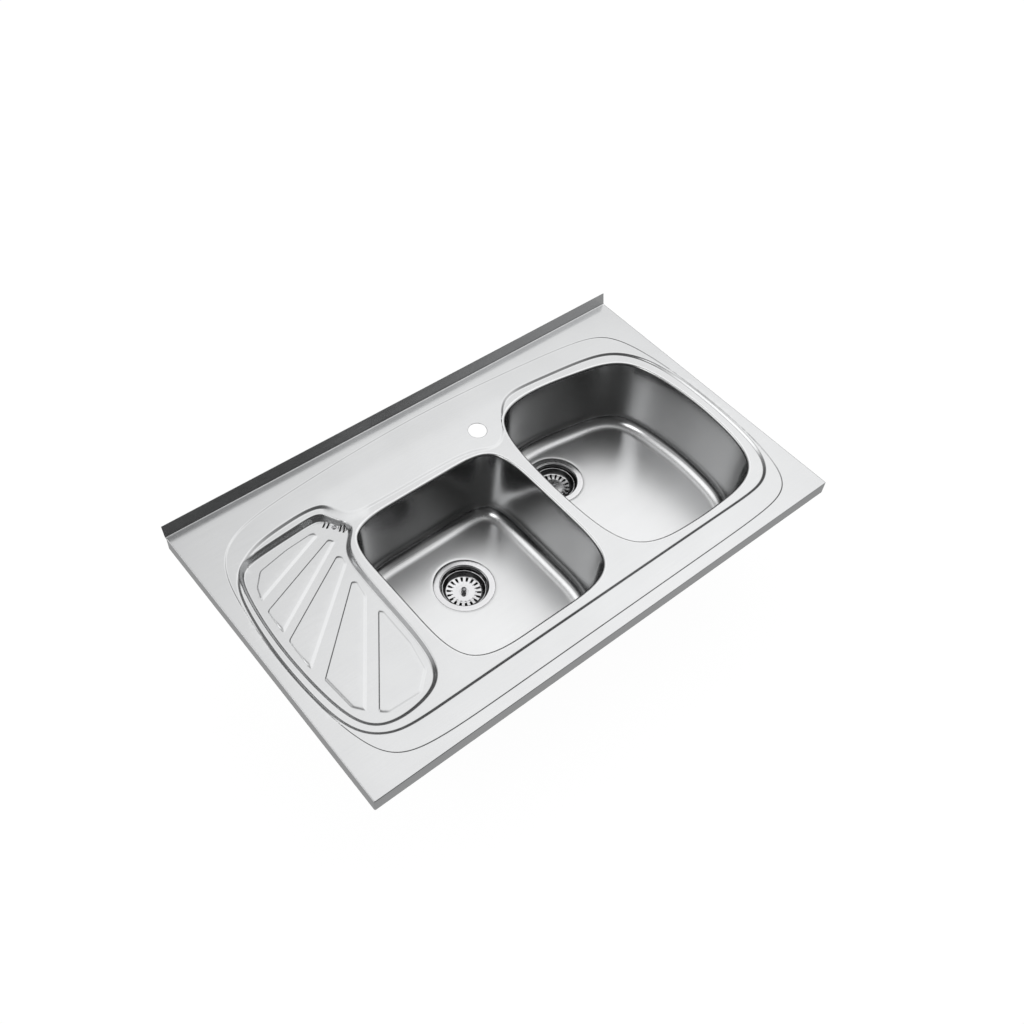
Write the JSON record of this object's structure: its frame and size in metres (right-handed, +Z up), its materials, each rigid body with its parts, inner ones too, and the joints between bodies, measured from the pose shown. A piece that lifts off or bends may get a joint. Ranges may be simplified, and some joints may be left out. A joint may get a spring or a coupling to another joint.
{
  "type": "lay-on kitchen sink top",
  "caption": "Stainless lay-on sink top: left drainer with fanned panels, two deep bowls with lift-out basket strainers, tap ledge, back upstand and folded skirts.",
  "frame": {"origin": "middle of the 1000 x 600 mm footprint, on the plane that the folded skirts rest on", "axes": "+X to the right with the drainer on the left, +Y to the wall, +Z up"},
  "size_m": [1, 0.605, 0.2662],
  "materials": {
    "deck_steel": "satin",
    "bowl_steel": "satin",
    "strainer_steel": "bright satin",
    "knob_steel": "turned",
    "screw_steel": "turned",
    "galvanised_steel": "zinc plated",
    "black_rubber": "matte",
    "damping_pad": "felted matte",
    "waste_plastic": "moulded",
    "brass": "machined"
  },
  "bodies": {
    "root": {"sink_deck": "deck_steel", "left_bowl": "bowl_steel", "right_bowl": "bowl_steel", "left_damping_pad": "damping_pad", "right_damping_pad": "damping_pad", "front_stiffener": "galvanised_steel", "rear_stiffener": "galvanised_steel", "fixing_brackets": "galvanised_steel", "overflow_gasket": "black_rubber", "overflow_housing": "waste_plastic", "overflow_screw": "screw_steel", "left_strainer_cup": "strainer_steel", "left_floor_gasket": "black_rubber", "left_waste_body": "waste_plastic", "left_cup_gasket": "black_rubber", "left_clamp_screw": "screw_steel", "left_clamp_nut": "brass", "right_strainer_cup": "strainer_steel", "right_floor_gasket": "black_rubber", "right_waste_body": "waste_plastic", "right_cup_gasket": "black_rubber", "right_clamp_screw": "screw_steel", "right_clamp_nut": "brass"},
    "left_strainer": {"left_basket": "strainer_steel"},
    "left_stopper": {"left_knob": "knob_steel", "left_stem": "screw_steel", "left_stopper_disc": "strainer_steel", "left_stopper_seal": "black_rubber", "left_stem_nut": "screw_steel"},
    "right_strainer": {"right_basket": "strainer_steel"},
    "right_stopper": {"right_knob": "knob_steel", "right_stem": "screw_steel", "right_stopper_disc": "strainer_steel", "right_stopper_seal": "black_rubber", "right_stem_nut": "screw_steel"}
  },
  "joints": [
    {"name": "left_strainer_lift", "type": "slide", "parent": "root", "child": "left_strainer", "axis": [0, 0, 1], "range_m": [0, 0.22]},
    {"name": "left_knob_turn", "type": "hinge", "parent": "left_strainer", "child": "left_stopper", "pos_m": [-0.09, 0.006, -0.16], "axis": [0, 0, 1], "continuous": true},
    {"name": "right_strainer_lift", "type": "slide", "parent": "root", "child": "right_strainer", "axis": [0, 0, 1], "range_m": [0, 0.22]},
    {"name": "right_knob_turn", "type": "hinge", "parent": "right_strainer", "child": "right_stopper", "pos_m": [0.207, 0.096, -0.16], "axis": [0, 0, 1], "continuous": true}
  ]
}
